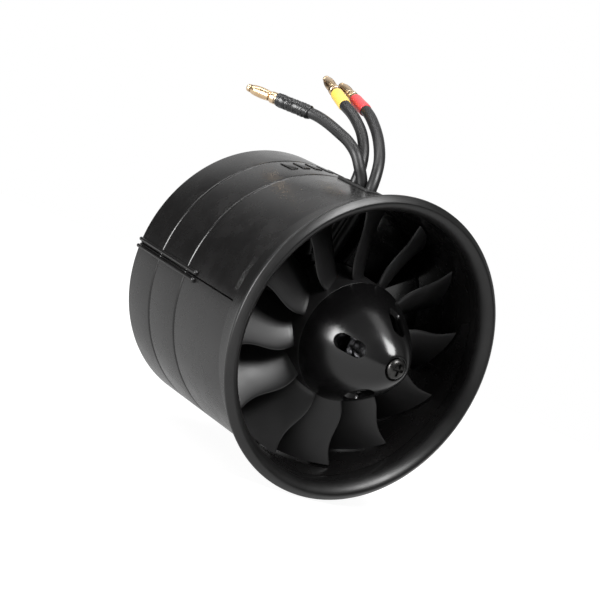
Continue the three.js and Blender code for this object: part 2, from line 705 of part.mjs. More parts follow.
for (const [colour, lead] of Object.entries(LEADS)) {
  const direction = new THREE.Vector3(...lead.direction).normalize();
  const start = new THREE.Vector3(...lead.route[lead.route.length - 1]);
  const sleeve = sleeveProfile(...lead.sleeve);
  addPiece(`lead_${colour}`, leadTube(lead.route, direction), rubber);
  addPiece(`sleeve_${colour}`, pinAlong(sleeve, start, direction, 10), lead.finish);
  addPiece(`plug_${colour}`, pinAlong(PLUG_PROFILE, start, direction, 10), gold);
  addPiece(`plug_spring_${colour}`, plugSpring(start, direction), gold);
}

export default fan;
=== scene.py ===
"""Ducted fan unit of the 80 mm class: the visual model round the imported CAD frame.

Lengths are written in millimetres and turned into metres when a mesh is made. The fan axis is Y,
the inlet faces -Y and the leads leave at the top, +Z.
"""
import json
import math

import bmesh
import bpy
from mathutils import Matrix, Vector, noise


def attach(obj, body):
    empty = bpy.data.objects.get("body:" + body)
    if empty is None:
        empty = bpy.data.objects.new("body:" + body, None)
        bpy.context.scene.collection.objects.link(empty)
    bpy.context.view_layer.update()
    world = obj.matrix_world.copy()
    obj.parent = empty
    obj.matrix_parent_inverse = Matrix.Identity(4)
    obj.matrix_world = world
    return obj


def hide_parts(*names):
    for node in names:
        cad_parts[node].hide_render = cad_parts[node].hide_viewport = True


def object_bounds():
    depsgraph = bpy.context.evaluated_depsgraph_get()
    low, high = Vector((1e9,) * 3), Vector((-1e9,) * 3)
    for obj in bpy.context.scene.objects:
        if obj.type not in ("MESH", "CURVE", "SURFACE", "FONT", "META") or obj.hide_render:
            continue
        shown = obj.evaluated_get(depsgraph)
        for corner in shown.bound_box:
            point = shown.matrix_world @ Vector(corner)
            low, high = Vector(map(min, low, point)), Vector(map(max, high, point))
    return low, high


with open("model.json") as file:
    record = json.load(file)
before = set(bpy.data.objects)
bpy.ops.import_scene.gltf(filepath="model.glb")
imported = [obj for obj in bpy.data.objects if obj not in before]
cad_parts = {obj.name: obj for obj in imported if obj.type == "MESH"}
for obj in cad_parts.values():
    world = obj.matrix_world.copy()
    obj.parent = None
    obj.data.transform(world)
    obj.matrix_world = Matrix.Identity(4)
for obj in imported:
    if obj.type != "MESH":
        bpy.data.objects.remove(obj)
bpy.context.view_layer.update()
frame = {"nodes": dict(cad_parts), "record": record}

MM = 0.001
TAU = 2 * math.pi
GAP = 0.3
LARGE = 288          # segments round the duct and the lip
MEDIUM = 144         # segments round the hub, the spinner and the motor
SMALL = 48           # segments round screws, plugs and sleeves


def mix(a, b, t):
    return a + (b - a) * t


def add_object(name, data):
    made = bpy.data.objects.new(name, data)
    bpy.context.scene.collection.objects.link(made)
    return made


# ---------------------------------------------------------------- camera
CAMERA_AT = (-0.3520, -0.4291, 0.0624)
CAMERA_RIGHT = (0.7575, -0.5203, 0.3943)
CAMERA_UP = (-0.2607, 0.3127, 0.9134)
CAMERA_BACK = (-0.5985, -0.7947, 0.1013)


def make_camera():
    data = bpy.data.cameras.new("camera")
    data.lens = 116.3
    data.sensor_width = 36
    data.clip_start = 0.01
    data.clip_end = 20
    camera = add_object("camera", data)
    turn = Matrix((CAMERA_RIGHT, CAMERA_UP, CAMERA_BACK)).transposed()
    camera.matrix_world = Matrix.Translation(CAMERA_AT) @ turn.to_quaternion().to_matrix().to_4x4()
    bpy.context.scene.camera = camera


make_camera()


# ---------------------------------------------------------------- materials
class Finish:
    """A procedural material being built. Texture coordinates are the object's own, in metres."""

    def __init__(self, name, color, roughness, metallic=0.0):
        self.material = bpy.data.materials.new(name)
        self.material.use_nodes = True
        self.nodes = self.material.node_tree.nodes
        self.links = self.material.node_tree.links
        self.shader = self.nodes["Principled BSDF"]
        self.shader.inputs["Base Color"].default_value = (*color, 1)
        self.shader.inputs["Roughness"].default_value = roughness
        self.shader.inputs["Metallic"].default_value = metallic
        self.coordinates = self.nodes.new("ShaderNodeTexCoord").outputs["Object"]

    def set(self, **values):
        for key, value in values.items():
            self.shader.inputs[key.replace("_", " ")].default_value = value
        return self

    def noise(self, scale, detail=3.0, roughness=0.55, stretch=None):
        """Noise whose features are about 1000 / scale mm across, stretched along one axis if asked."""
        texture = self.nodes.new("ShaderNodeTexNoise")
        texture.inputs["Scale"].default_value = scale
        texture.inputs["Detail"].default_value = detail
        texture.inputs["Roughness"].default_value = roughness
        source = self.coordinates
        if stretch:
            mapping = self.nodes.new("ShaderNodeMapping")
            mapping.inputs["Scale"].default_value = stretch
            self.links.new(source, mapping.inputs["Vector"])
            source = mapping.outputs["Vector"]
        self.links.new(source, texture.inputs["Vector"])
        return texture.outputs["Fac"]

    def remap(self, value, low, high, start=0.3, end=0.7):
        node = self.nodes.new("ShaderNodeMapRange")
        for key, number in (("From Min", start), ("From Max", end), ("To Min", low), ("To Max", high)):
            node.inputs[key].default_value = number
        self.links.new(value, node.inputs["Value"])
        return node.outputs["Result"]

    def tint(self, value, dark, light, start=0.3, end=0.7):
        ramp = self.nodes.new("ShaderNodeValToRGB")
        ramp.color_ramp.elements[0].position = start
        ramp.color_ramp.elements[1].position = end
        ramp.color_ramp.elements[0].color = (*dark, 1)
        ramp.color_ramp.elements[1].color = (*light, 1)
        self.links.new(value, ramp.inputs["Fac"])
        self.links.new(ramp.outputs["Color"], self.shader.inputs["Base Color"])
        return self

    def gloss(self, value, low, high):
        self.links.new(self.remap(value, low, high), self.shader.inputs["Roughness"])
        return self

    def relief(self, *layers):
        """Bump from (value, strength, depth in mm) layers, one on top of the other."""
        normal = None
        for value, strength, depth in layers:
            bump = self.nodes.new("ShaderNodeBump")
            bump.inputs["Strength"].default_value = strength
            bump.inputs["Distance"].default_value = depth * MM
            self.links.new(value, bump.inputs["Height"])
            if normal:
                self.links.new(normal, bump.inputs["Normal"])
            normal = bump.outputs["Normal"]
        self.links.new(normal, self.shader.inputs["Normal"])
        return self


def moulded(name, dark, light, low, high, grain=0.02):
    finish = Finish(name, light, high)
    finish.tint(finish.noise(55, 4), dark, light)
    finish.gloss(finish.noise(160, 5), low, high)
    finish.relief((finish.noise(4200, 2), 0.25, grain), (finish.noise(300, 3), 0.2, 0.015))
    return finish.material


def metal(name, dark, light, low, high, stretch, scratch=0.004):
    finish = Finish(name, light, high, metallic=1.0)
    finish.tint(finish.noise(240, 3), dark, light)
    lines = finish.noise(900, 3, stretch=stretch)
    finish.gloss(lines, low, high)
    finish.relief((lines, 0.3, scratch))
    return finish.material


def lip_nylon(name):
    """Glossy on the collar and satin on the rim and in the mouth, where it's handled."""
    finish = Finish(name, (0.0040, 0.0038, 0.0038), 0.4)
    finish.tint(finish.noise(55, 4), (0.0033, 0.0032, 0.0032), (0.0054, 0.0052, 0.0052))
    axis = finish.nodes.new("ShaderNodeSeparateXYZ")
    finish.links.new(finish.coordinates, axis.inputs["Vector"])
    place = finish.remap(axis.outputs["Y"], 0.38, 0.25, 0.0004, 0.0022)
    grain = finish.remap(finish.noise(160, 5), -0.04, 0.04)
    add = finish.nodes.new("ShaderNodeMath")
    finish.links.new(place, add.inputs[0])
    finish.links.new(grain, add.inputs[1])
    finish.links.new(add.outputs["Value"], finish.shader.inputs["Roughness"])
    finish.relief((finish.noise(4200, 2), 0.25, 0.02), (finish.noise(300, 3), 0.2, 0.015))
    return finish.material


MATERIALS = {
    "black_nylon": moulded("black_nylon", (0.0028, 0.0026, 0.0026), (0.0048, 0.0045, 0.0045), 0.22, 0.31),
    "lip_nylon": lip_nylon("lip_nylon"),
    "rotor_nylon": moulded("rotor_nylon", (0.0060, 0.0058, 0.0060), (0.0090, 0.0087, 0.0090), 0.34, 0.44),
    "gloss_nylon": moulded("gloss_nylon", (0.0026, 0.0025, 0.0026), (0.0042, 0.0041, 0.0042), 0.17, 0.23),
    "black_steel": metal("black_steel", (0.02, 0.02, 0.02), (0.09, 0.088, 0.085), 0.22, 0.42, (1, 1, 1), 0.01),
    "bright_steel": metal("bright_steel", (0.45, 0.45, 0.46), (0.66, 0.66, 0.68), 0.16, 0.34, (1, 14, 1)),
    "aluminium": metal("aluminium", (0.56, 0.56, 0.58), (0.78, 0.78, 0.8), 0.22, 0.4, (1, 14, 1)),
    "dark_iron": metal("dark_iron", (0.06, 0.055, 0.05), (0.16, 0.15, 0.14), 0.35, 0.6, (1, 30, 1), 0.02),
    "copper_wire": metal("copper_wire", (0.34, 0.12, 0.05), (0.66, 0.27, 0.12), 0.22, 0.42, (1, 1, 9), 0.05),
    "gold_plate": metal("gold_plate", (0.64, 0.45, 0.26), (0.80, 0.61, 0.41), 0.20, 0.34, (1, 1, 1), 0.006),
    "grommet_rubber": moulded("grommet_rubber", (0.006, 0.006, 0.006), (0.010, 0.010, 0.010), 0.5, 0.68, 0.04),
    "silicone_lead": moulded("silicone_lead", (0.0075, 0.0075, 0.0078), (0.013, 0.013, 0.0135), 0.36, 0.5),
    "black_shrink": moulded("black_shrink", (0.006, 0.006, 0.0065), (0.012, 0.012, 0.012), 0.25, 0.42, 0.05),
    "yellow_shrink": moulded("yellow_shrink", (0.80, 0.50, 0.075), (0.90, 0.62, 0.13), 0.3, 0.42, 0.03),
    "red_shrink": moulded("red_shrink", (0.56, 0.035, 0.045), (0.70, 0.062, 0.07), 0.28, 0.4, 0.03),
}


# ---------------------------------------------------------------- mesh helpers
def mesh_of(name, bodies):
    """One mesh from a list of closed (corners, faces) bodies, in mm."""
    verts, faces = [], []
    for body_verts, body_faces in bodies:
        first = len(verts)
        verts.extend(Vector(v) * MM for v in body_verts)
        faces.extend([first + i for i in face] for face in body_faces)
    mesh = bpy.data.meshes.new(name)
    mesh.from_pydata(verts, [], faces)
    return mesh


def make_piece(name, bodies, body, slot, nodes=(), sharp=32.0, finish=None):
    """One piece from a list of (corners, faces), in mm, riding on a CAD body."""
    mesh = mesh_of(name, bodies)
    piece = add_object(name, mesh)
    tidy_mesh(mesh, sharp)
    mesh.materials.append(MATERIALS[finish or slot])
    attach(piece, body)
    if nodes:
        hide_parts(*nodes)
    return piece


def tidy_mesh(mesh, sharp):
    """Joins equal corners, turns the faces outward and marks the edges that stay sharp."""
    bm = bmesh.new()
    bm.from_mesh(mesh)
    bmesh.ops.remove_doubles(bm, verts=bm.verts, dist=1e-6)
    bmesh.ops.recalc_face_normals(bm, faces=bm.faces)
    limit = math.radians(sharp)
    for face in bm.faces:
        face.smooth = True
    for edge in bm.edges:
        edge.smooth = len(edge.link_faces) == 2 and edge.calc_face_angle(0) < limit
    bm.to_mesh(mesh)
    bm.free()


def carve(piece, cutters, sharp=32.0):
    """Cuts closed (corners, faces) bodies, in mm, out of a piece."""
    mesh = mesh_of("cutter", cutters)
    tidy_mesh(mesh, sharp)
    cutter = add_object("cutter", mesh)
    modifier = piece.modifiers.new("carve", "BOOLEAN")
    modifier.operation = "DIFFERENCE"
    modifier.solver = "EXACT"
    modifier.object = cutter
    graph = bpy.context.evaluated_depsgraph_get()
    carved = bpy.data.meshes.new_from_object(piece.evaluated_get(graph))
    piece.modifiers.clear()
    piece.data = carved
    bpy.data.objects.remove(cutter)
    tidy_mesh(carved, sharp)


def rounded(points, radius, steps=4, closed=True):
    """A profile with its corners rounded. radius is one number, or one for each point."""
    count = len(points)
    radii = [radius] * count if isinstance(radius, (int, float)) else list(radius)
    result = []
    for i, point in enumerate(points):
        here = Vector(point)
        if radii[i] <= 0 or (not closed and i in (0, count - 1)):
            result.append(tuple(here))
            continue
        before, after = Vector(points[i - 1]), Vector(points[(i + 1) % count])
        reach = min(radii[i], (before - here).length * 0.48, (after - here).length * 0.48)
        start = here + (before - here).normalized() * reach
        end = here + (after - here).normalized() * reach
        for k in range(steps + 1):
            t = k / steps
            result.append(tuple(start * (1 - t) ** 2 + here * 2 * t * (1 - t) + end * t * t))
    return result


def spline(points, steps=6):
    """Centripetal Catmull-Rom curve through the points, ends included."""
    line = [Vector(p) for p in points]
    line = [line[0] * 2 - line[1]] + line + [line[-1] * 2 - line[-2]]
    result = []
    for i in range(1, len(line) - 2):
        p0, p1, p2, p3 = line[i - 1:i + 3]
        t1 = max((p1 - p0).length, 1e-9) ** 0.5
        t2 = t1 + max((p2 - p1).length, 1e-9) ** 0.5
        t3 = t2 + max((p3 - p2).length, 1e-9) ** 0.5
        for k in range(steps):
            t = mix(t1, t2, k / steps)
            a1 = p0 * ((t1 - t) / t1) + p1 * (t / t1)
            a2 = p1 * ((t2 - t) / (t2 - t1)) + p2 * ((t - t1) / (t2 - t1))
            a3 = p2 * ((t3 - t) / (t3 - t2)) + p3 * ((t - t2) / (t3 - t2))
            b1 = a1 * ((t2 - t) / t2) + a2 * (t / t2)
            b2 = a2 * ((t3 - t) / (t3 - t1)) + a3 * ((t - t1) / (t3 - t1))
            result.append(tuple(b1 * ((t2 - t) / (t2 - t1)) + b2 * ((t - t1) / (t2 - t1))))
    result.append(tuple(line[-2]))
    return result


def loft(loops, closed_along=False, capped=True):
    """A skin over loops of corners, all of the same count."""
    count = len(loops[0])
    verts = [corner for loop in loops for corner in loop]
    faces = []
    rows = len(loops) if closed_along else len(loops) - 1
    for i in range(rows):
        a, b = i * count, ((i + 1) % len(loops)) * count
        for k in range(count):
            n = (k + 1) % count
            faces.append([a + k, a + n, b + n, b + k])
    if capped and not closed_along:
        faces.append(list(range(count)))
        faces.append([(len(loops) - 1) * count + k for k in reversed(range(count))])
    return verts, faces


def ring_point(radius, angle, y):
    return (radius * math.cos(angle), y, radius * math.sin(angle))


def turned(profile, segments, start=0.0, sweep=TAU):
    """A body turned about Y from a closed profile of (radius, y), or part of a turn with flat ends."""
    whole = sweep > TAU - 1e-6
    steps = segments if whole else segments + 1
    loops = []
    for i in range(steps):
        angle = start + sweep * i / segments
        loops.append([ring_point(max(radius, 1e-4), angle, y) for radius, y in profile])
    return loft(loops, closed_along=whole, capped=not whole)


def placed(body, matrix):
    verts, faces = body
    return [tuple(matrix @ Vector(v)) for v in verts], faces


def along(origin, direction):
    """Matrix that takes +Y to a direction, at a point."""
    turn = Vector((0, 1, 0)).rotation_difference(Vector(direction).normalized())
    return Matrix.Translation(Vector(origin)) @ turn.to_matrix().to_4x4()


def about_axis(angle):
    """Matrix that turns about the fan axis, from +X towards +Z."""
    return Matrix.Rotation(-angle, 4, "Y")


def brick(x, y, z):
    verts = [(a, b, c) for a in x for b in y for c in z]
    return verts, [[0, 1, 3, 2], [4, 6, 7, 5], [0, 4, 5, 1], [2, 3, 7, 6], [0, 2, 6, 4], [1, 5, 7, 3]]


def bar_loop(half_width, half_length, corner, steps=6):
    """Corners of a rounded rectangle about the origin, as (u, v) pairs."""
    loop = []
    for quarter, (sx, sy) in enumerate(((1, 1), (-1, 1), (-1, -1), (1, -1))):
        for k in range(steps + 1):
            angle = (quarter + k / steps) * math.pi / 2
            loop.append((
                sx * (half_width - corner) + corner * math.cos(angle),
                sy * (half_length - corner) + corner * math.sin(angle),
            ))
    return loop


# ---------------------------------------------------------------- leads
# Route of each lead from inside the hub, the direction of the straight line of sleeve and plug from
# its end, and where along that line the sleeve starts and ends.
LEADS = {
    "black": (
        [(-1.2, 35.8, 16), (-1.2, 34.6, 24), (-1.2, 32.4, 32), (-1.2, 30.8, 38), (-1.4, 30.4, 41.5),
         (-2.5, 31.0, 44.4), (-3.9, 32.0, 46.9), (-5.2, 34.2, 50.0), (-6.2, 38.8, 52.5), (-7.2, 44.4, 54.0),
         (-8.2, 50.0, 55.2), (-9.2, 54.4, 55.8), (-10.2, 57.5, 55.9)],
        (-0.45, 0.89, -0.02), (0, 12.4),
    ),
    "yellow": (
        [(-1.2, 40.2, 16), (-1.2, 38.9, 24), (-1.2, 36.7, 32), (-1.2, 35.1, 38), (-1.2, 34.6, 41.5),
         (-0.8, 35.4, 46.3), (0.1, 38.6, 51.6), (0.5, 43.6, 56.3), (0.3, 48.7, 59.3), (0.1, 52.2, 60.8),
         (0.1, 55.8, 61.8)],
        (0.2, 0.95, 0.24), (1.3, 11.0),
    ),
    "red": (
        [(-1.2, 31.4, 16), (-1.2, 30.2, 24), (-1.2, 28.1, 32), (-1.2, 26.6, 38), (-1.1, 26.3, 41.5),
         (-0.2, 27.8, 46.2), (1.2, 31.0, 50.8), (2.5, 35.4, 54.6), (3.9, 41.2, 58.2), (5.3, 48.6, 61.6),
         (6.0, 52.7, 62.9)],
        (0.15, 0.97, 0.19), (1.3, 11.0),
    ),
}
LEAD_DIAMETER = 3.5
LEAD_OVERLAP = 5.0        # how far a lead runs into its sleeve
PLUG_START = 5.6
PLUG_PROFILE = [
    (0, PLUG_START), (1.1, PLUG_START), (1.1, 5.4), (1.6, 5.4), (1.6, 12.8), (1.85, 13.0), (1.85, 14.6),
    (1.65, 14.8), (0.9, 14.8), (0.9, 22.4), (1.25, 22.6), (1.15, 23.6), (0.6, 24.0), (0, 24.0),
]
SPRING_OUTER = [
    (1.32, 15.1), (1.5, 15.3), (1.64, 16.3), (1.73, 17.5),
    (1.75, 18.7), (1.7, 20.0), (1.52, 21.5), (1.35, 22.1),
]
SPRING_WALL = 0.3
SPRING_SLOT_HALF = 0.16
SPRING_SLOT_Y = (15.9, 21.4)
SLEEVE_SEEDS = {"black": 3.0, "yellow": 11.0, "red": 19.0}
SLEEVE_BORE_LEAD = 1.78   # over the lead, and beyond its end over the plug's cup
SLEEVE_BORE_PLUG = 1.65


def sleeve_loops(colour, start, end):
    """Heat-shrink over the lead's end: smooth on the coloured ones, gathered in folds on the black one."""
    loops = []
    rows, around = 72, 40
    seed = SLEEVE_SEEDS[colour]
    for side in (1, -1):
        for i in range(rows + 1):
            t = i / rows if side > 0 else 1 - i / rows
            y = mix(start, end, t)
            edge = min(y - start, end - y)
            loop = []
            for k in range(around):
                angle = TAU * k / around
                at = Vector((math.cos(angle), math.sin(angle), 0))
                swell = noise.noise(Vector((at.x * 0.7, at.y * 0.7, y * 0.35 + seed)))
                if side < 0:
                    radius = SLEEVE_BORE_LEAD if y < LEAD_OVERLAP + 0.1 else SLEEVE_BORE_PLUG
                else:
                    fold = noise.noise(Vector((at.x * 1.1, at.y * 1.1, y * 1.5 + seed)))
                    if colour == "black":
                        radius = 2.1 + 0.34 * abs(fold) + 0.1 * swell
                    else:
                        radius = 2.04 + 0.06 * swell + 0.02 * fold
                    radius -= 0.22 * math.exp(-edge / 0.28)
                loop.append((radius * math.cos(angle), y, radius * math.sin(angle)))
            loops.append(loop)
    return loft(loops, closed_along=True)


def make_lead(colour):
    route, direction, (sleeve_start, sleeve_end) = LEADS[colour]
    start = Vector(route[-1])
    heading = Vector(direction).normalized()
    points = spline([*route, tuple(start + heading * LEAD_OVERLAP)], 6)
    data = bpy.data.curves.new(f"lead_{colour}_cord", "CURVE")
    data.dimensions = "3D"
    data.bevel_depth = LEAD_DIAMETER / 2 * MM
    data.bevel_resolution = 8
    data.use_fill_caps = True
    line = data.splines.new("POLY")
    line.points.add(len(points) - 1)
    for point, place in zip(line.points, points):
        point.co = (*(Vector(place) * MM), 1)
    line.use_smooth = True
    data.materials.append(MATERIALS["silicone_lead"])
    cord = add_object(f"lead_{colour}_cord", data)
    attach(cord, "housing")
    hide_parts(f"lead_{colour}")

    place = along(route[-1], direction)
    sleeve = make_piece(
        f"sleeve_{colour}_shrink", [placed(sleeve_loops(colour, sleeve_start, sleeve_end), place)],
        "housing", f"{colour}_shrink", [f"sleeve_{colour}"], 60)
    profile = rounded(PLUG_PROFILE, 0.14, 3, closed=False)
    plug = make_piece(
        f"plug_{colour}_bullet", [placed(turned(profile + [(0, PLUG_START)], SMALL), place)], "housing",
        "gold_plate", [f"plug_{colour}"], 40)
    outer = spline(SPRING_OUTER, 4)
    shell = outer + [(radius - SPRING_WALL, y) for radius, y in reversed(outer)]
    spring = make_piece(
        f"plug_spring_{colour}_cage", [placed(turned(shell, SMALL), place)], "housing",
        "gold_plate", [f"plug_spring_{colour}"], 40)
    narrow = (-SPRING_SLOT_HALF, SPRING_SLOT_HALF)
    slots = [brick(narrow, SPRING_SLOT_Y, (0.2, 4)), brick(narrow, SPRING_SLOT_Y, (-4, -0.2)),
             brick((0.2, 4), SPRING_SLOT_Y, narrow), brick((-4, -0.2), SPRING_SLOT_Y, narrow)]
    carve(spring, [placed(slot, place) for slot in slots], 40)


for colour in LEADS:
    make_lead(colour)


# ---------------------------------------------------------------- inlet lip
THROAT_R = 40.9
THROAT_Y = 5.1
LIP_CREST_R = 44.9
LIP_FRONT_Y = -1.8
LIP_R = 46.5
LIP_EDGE_Y = 0.3
COLLAR_R = 42.9
COLLAR_REAR_R = 42.5      # behind the step in the collar
COLLAR_END_Y = 10.4
DUCT_R = 41.85
BORE_R = 40.0
DUCT_REAR_Y = 68.2


def bellmouth(steps):
    points = []
    for i in range(steps + 1):
        t = (i / steps) * math.pi / 2
        points.append((
            THROAT_R + (LIP_CREST_R - THROAT_R) * (1 - math.sin(t)),
            THROAT_Y - (THROAT_Y - LIP_FRONT_Y) * math.cos(t),
        ))
    return points


def lip_profile():
    seat = DUCT_R + 0.15
    collar = rounded([
        (THROAT_R, THROAT_Y - 0.02), (seat, THROAT_Y), (seat, COLLAR_END_Y), (COLLAR_REAR_R, COLLAR_END_Y),
        (COLLAR_REAR_R, 8.8), (COLLAR_R, 8.6), (COLLAR_R, 6.2),
    ], [0, 0.1, 0.1, 0.2, 0.12, 0.18, 0], 4, closed=False)
    flare = spline([
        (COLLAR_R, 6.2), (43.4, 4.2), (44.5, 2.4), (45.9, 1.2), (46.4, 0.6), (LIP_R, LIP_EDGE_Y),
    ], 8)
    mouth = bellmouth(28)[4:]      # the face takes the place of its first steps, over the crest
    face = rounded([(LIP_R, LIP_EDGE_Y), (46.42, -0.25), (45.5, -1.15), (44.65, -1.76), mouth[0]],
                   [0, 0.2, 0.8, 0.4, 0], 5, closed=False)
    return mouth + collar[1:] + flare[1:-1] + face[:-1]


make_piece(
    "inlet_lip_moulded", [turned(lip_profile(), LARGE)], "housing", "black_nylon", ["inlet_lip"],
    finish="lip_nylon")


# ---------------------------------------------------------------- duct shells
GROOVES = (39.0, 54.7)
GROOVE_DEPTH = 0.5
GROOVE_ROUND = 0.85       # the rear edge of a groove is rounded off over this length
SEAT_R = 41.0
SEAT_Y = (30.7, 60.3)
SEAM_HALF = 0.24
SEAM_DEPTH = 0.5
RIB_Y0 = 32.9
RIB_Z = (0.52, 1.68)
GRIP_Y = (11.5, 12.2, 12.9)
GRIP_SWEEP = 15
GRIP_STARTS = (4, 176 - GRIP_SWEEP)      # degrees from +X
MARKS = 7
MARK_Y = (45.6, 52.2)
MARK_ANGLE = 76
MARK_SPACING = 6
MARK_HALF = 1.3
SLOT_AT = (-1.2, 30.4)
SLOT_SIZE = (8.0, 15.8)


def duct_profile():
    points = [
        (THROAT_R, THROAT_Y + GAP), (DUCT_R - 0.15, THROAT_Y + GAP), (DUCT_R - 0.3, 10.6), (DUCT_R, 10.95),
    ]
    radii = [0, 0.1, 0, 0]
    for y in GROOVES:
        points += [(DUCT_R, y - 0.6), (DUCT_R - GROOVE_DEPTH, y - 0.3)]
        radii += [0.12, 0.08]
        for k in range(9):
            bend = math.pi / 16 * k
            points.append((
                DUCT_R - GROOVE_DEPTH * (1 - math.sin(bend)),
                y - 0.1 + GROOVE_ROUND * (1 - math.cos(bend)),
            ))
            radii.append(0)
    points += [
        (DUCT_R, DUCT_REAR_Y), (BORE_R, DUCT_REAR_Y), (BORE_R, SEAT_Y[1]), (SEAT_R, SEAT_Y[1]),
        (SEAT_R, SEAT_Y[0]), (BORE_R, SEAT_Y[0]), (BORE_R, 9.0),
    ]
    radii += [0.45, 0.3, 0, 0, 0, 0, 2.0]
    return rounded(points, radii, 4)


def rib(side, z0, z1):
    """A rib with rounded edges and a rounded front end, standing on the duct beside the joint."""
    half = (z1 - z0) / 2
    loops = []
    for height, inset in ((-0.7, 0), (0.4, 0), (0.66, 0.05), (0.82, 0.15), (0.9, 0.32)):
        x = side * (DUCT_R + height)
        outline = bar_loop(half - inset, (DUCT_REAR_Y - RIB_Y0) / 2 - inset, half - inset - 0.02)
        middle = (DUCT_REAR_Y + RIB_Y0) / 2
        loops.append([(x, middle + v, (z0 + z1) / 2 + u) for u, v in outline])
    return loft(loops)


def rib_nub(side, z):
    """The small dome at the front end of a rib."""
    loops = []
    for height, radius in ((-0.5, 0.82), (0.3, 0.82), (0.66, 0.74), (0.92, 0.52), (1.04, 0.26), (1.07, 0.05)):
        x = side * (DUCT_R + height)
        loops.append([
            (x, RIB_Y0 + 0.5 + radius * math.cos(TAU * k / 20), z + radius * math.sin(TAU * k / 20))
            for k in range(20)
        ])
    return loft(loops)


def mark(angle):
    """A plain raised bar on the duct, in place of lettering."""
    y0, y1 = MARK_Y
    loops = []
    for height, inset in ((-0.3, 0), (0.15, 0), (0.22, 0.05), (0.25, 0.12)):
        outline = bar_loop(MARK_HALF - inset, (y1 - y0) / 2 - inset, 0.35)
        loops.append([(DUCT_R + height, (y0 + y1) / 2 + v, u) for u, v in outline])
    return placed(loft(loops), about_axis(angle))


def grip_line(first, y):
    """A low line along the duct beside the collar, over a short part of the way round."""
    profile = [(DUCT_R - 0.2, y - 0.24), (DUCT_R + 0.02, y - 0.22), (DUCT_R + 0.07, y - 0.08),
               (DUCT_R + 0.07, y + 0.08), (DUCT_R + 0.02, y + 0.22), (DUCT_R - 0.2, y + 0.24)]
    return turned(profile, 24, math.radians(first), math.radians(GRIP_SWEEP))


def half_duct(first):
    """Half the duct wall. Outside, the edges of its flat ends are chamfered, so a joint is a narrow V."""
    profile = duct_profile()
    steps = LARGE // 2
    seam = SEAM_HALF / DUCT_R
    closed = 0.02 / DUCT_R
    loops = []
    for i in range(-1, steps + 2):
        if i in (-1, steps + 1):
            angle = closed if i < 0 else math.pi - closed
            points = [(min(radius, DUCT_R - SEAM_DEPTH), y) for radius, y in profile]
        else:
            angle = mix(seam, math.pi - seam, i / steps)
            points = profile
        loops.append([ring_point(radius, first + angle, y) for radius, y in points])
    return loft(loops)


def lead_slot(z0, z1):
    """Cutter for the slot that the leads leave by."""
    x, y = SLOT_AT
    width, length = SLOT_SIZE
    return brick((x - width / 2, x + width / 2), (y - length / 2, y + length / 2), (z0, z1))


def make_shell(name, node, side):
    shell = make_piece(name, [half_duct(0 if side > 0 else math.pi)], "housing", "black_nylon", [node])
    z = RIB_Z if side > 0 else (-RIB_Z[1], -RIB_Z[0])
    bodies = []
    for x_side in (1, -1):
        bodies.append(rib(x_side, *z))
        bodies.append(rib_nub(x_side, (z[0] + z[1]) / 2))
    if side > 0:
        bodies += [grip_line(first, y) for first in GRIP_STARTS for y in GRIP_Y]
        bodies += [mark(math.radians(MARK_ANGLE + i * MARK_SPACING)) for i in range(MARKS)]
        carve(shell, [lead_slot(DUCT_R - 6, DUCT_R + 6)])
    add_bodies(shell, bodies)


def add_bodies(piece, bodies, sharp=32.0):
    """Adds closed bodies, in mm, to a piece's mesh."""
    bm = bmesh.new()
    bm.from_mesh(piece.data)
    for verts, faces in bodies:
        made = [bm.verts.new(Vector(v) * MM) for v in verts]
        for face in faces:
            bm.faces.new([made[i] for i in face])
    bm.to_mesh(piece.data)
    bm.free()
    tidy_mesh(piece.data, sharp)


make_shell("shell_upper_moulded", "shell_upper", 1)
make_shell("shell_lower_moulded", "shell_lower", -1)


# ---------------------------------------------------------------- impeller
BLADES = 12
ROOT_R = 17.7
TIP_R = 39.4
LEADING_Y = 10.0
# Each pair is the value at the root and at the tip.
CHORD = (18.0, 21.5)
PITCH = (50, 37)          # degrees from the plane of the rotor
CAMBER = (34, 16)
LEADING_ANGLE = (21.5, 18.6)
BLADE_THICKNESS = (2.0, 1.0)
LEADING_HUMP = 0.9        # forward wave of the leading edge
NOSE_SHARE = 0.035        # part of the chord over which an edge is round


def edge_round(v):
    """Thickness from 0 at both edges to 1, as on a half circle."""
    ends = min(v, 1 - v) / NOSE_SHARE
    return math.sqrt(max(0.0, 1 - (1 - min(ends, 1.0)) ** 2))


def blade_point(u, v, w, first_angle):
    """Point of a blade: u along the span, v from leading to trailing edge, w through the thickness."""
    radius = mix(ROOT_R, TIP_R, u)
    chord = mix(*CHORD, u)
    camber = math.radians(mix(*CAMBER, u))
    start = math.radians(mix(*PITCH, u)) - camber / 2
    slope = start + camber * v
    across = (chord / camber) * (math.sin(slope) - math.sin(start))
    back = (chord / camber) * (math.cos(start) - math.cos(slope))
    hump = LEADING_HUMP * math.sin(TAU * u) * (1 - v) ** 2
    fillet = 1 + 0.25 * math.exp(-max(radius - 18.7, 0) / 0.3)
    body = 0.3 + 0.7 * math.sin(math.pi * v ** 0.7)
    thickness = mix(*BLADE_THICKNESS, u) * body * (w - 0.5) * edge_round(v) * fillet
    angle = first_angle + math.radians(mix(*LEADING_ANGLE, u))
    angle += (hump - across + thickness * math.sin(slope)) / radius
    y = LEADING_Y + back + thickness * math.cos(slope) - 0.5 * hump - 0.6 * u ** 4 * (1 - v)
    return ring_point(radius, angle, y)


def spaced(count, edge=NOSE_SHARE, rows=4):
    """Positions from 0 to 1, close together at both ends, where an edge is round."""
    ends = [edge * (1 - math.cos(math.pi / 2 * i / rows)) for i in range(rows)]
    middle = [mix(edge, 1 - edge, i / count) for i in range(count + 1)]
    return ends + middle + [1 - e for e in reversed(ends)]


